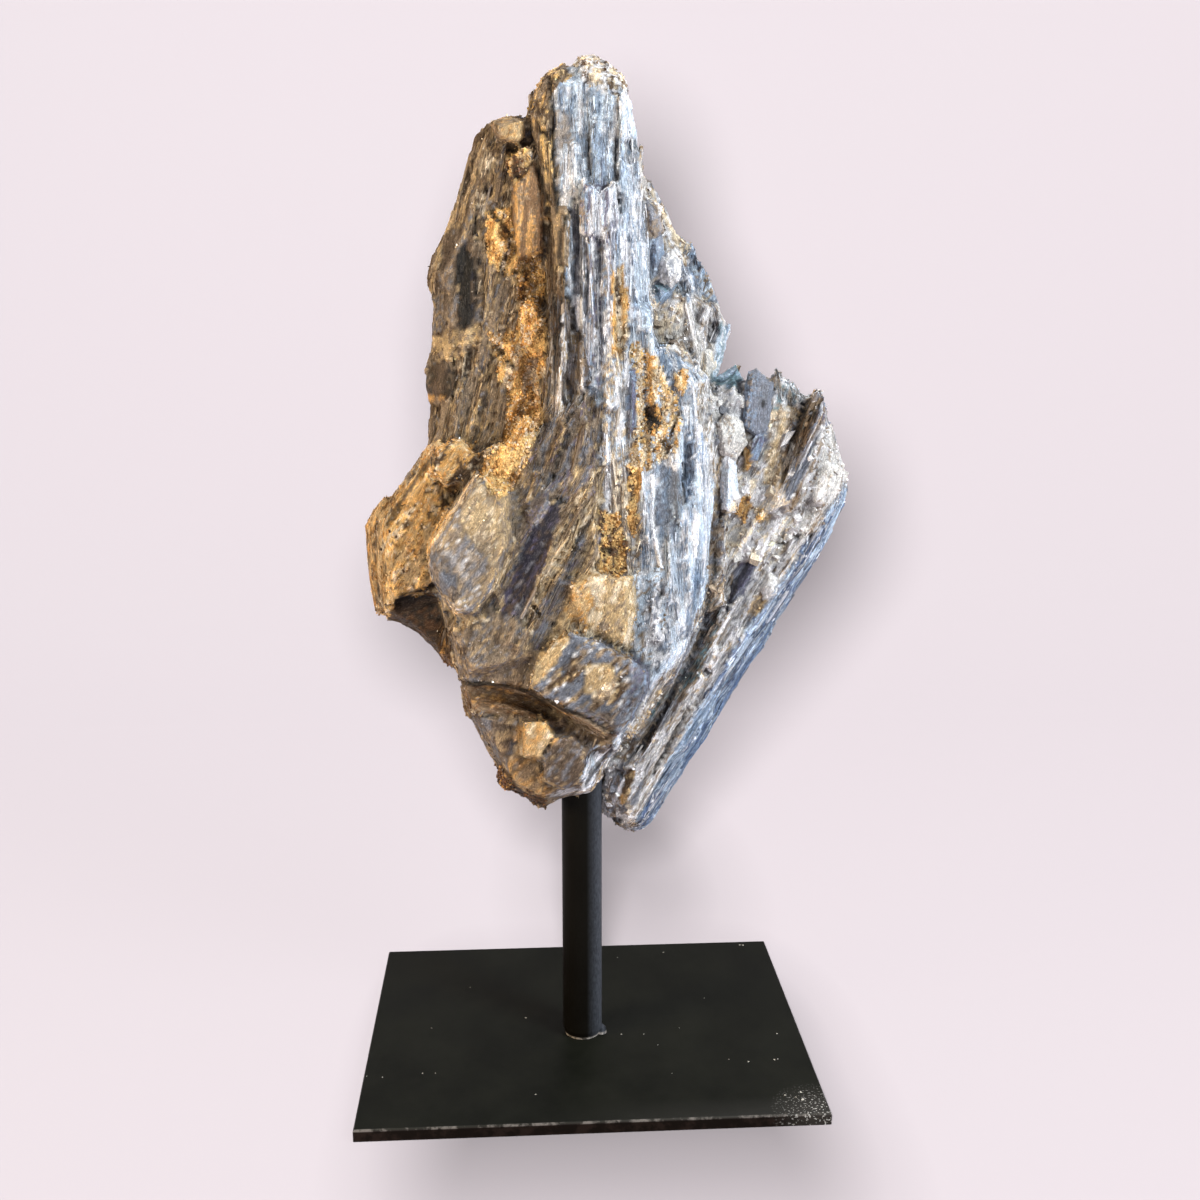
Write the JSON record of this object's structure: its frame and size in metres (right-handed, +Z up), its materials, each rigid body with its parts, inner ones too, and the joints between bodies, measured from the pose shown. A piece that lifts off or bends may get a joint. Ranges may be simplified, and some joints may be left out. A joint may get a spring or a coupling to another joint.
{
  "type": "kyanite specimen on a stand",
  "caption": "Tall mass of intergrown bladed kyanite crystals with ochre seams and quartz, standing on a round steel rod fixed to a flat rectangular steel plate",
  "frame": {"origin": "centre of the plate's underside, on the surface that the stand rests on", "axes": "+Z up along the rod, +X to the right as seen from the front, the front face of the stone looks along -Y"},
  "size_m": [0.153, 0.11, 0.3058],
  "materials": {
    "kyanite_stone": "fibrous, bladed, blue-grey with pearly cleavage faces, ochre crumbs in the seams and a few lumps of pale quartz",
    "black_paint": "satin black paint on steel, with fine scratches, pale specks and worn front edges"
  },
  "bodies": {
    "root": {"kyanite": "kyanite_stone", "post": "black_paint", "base_plate": "black_paint"}
  },
  "joints": []
}
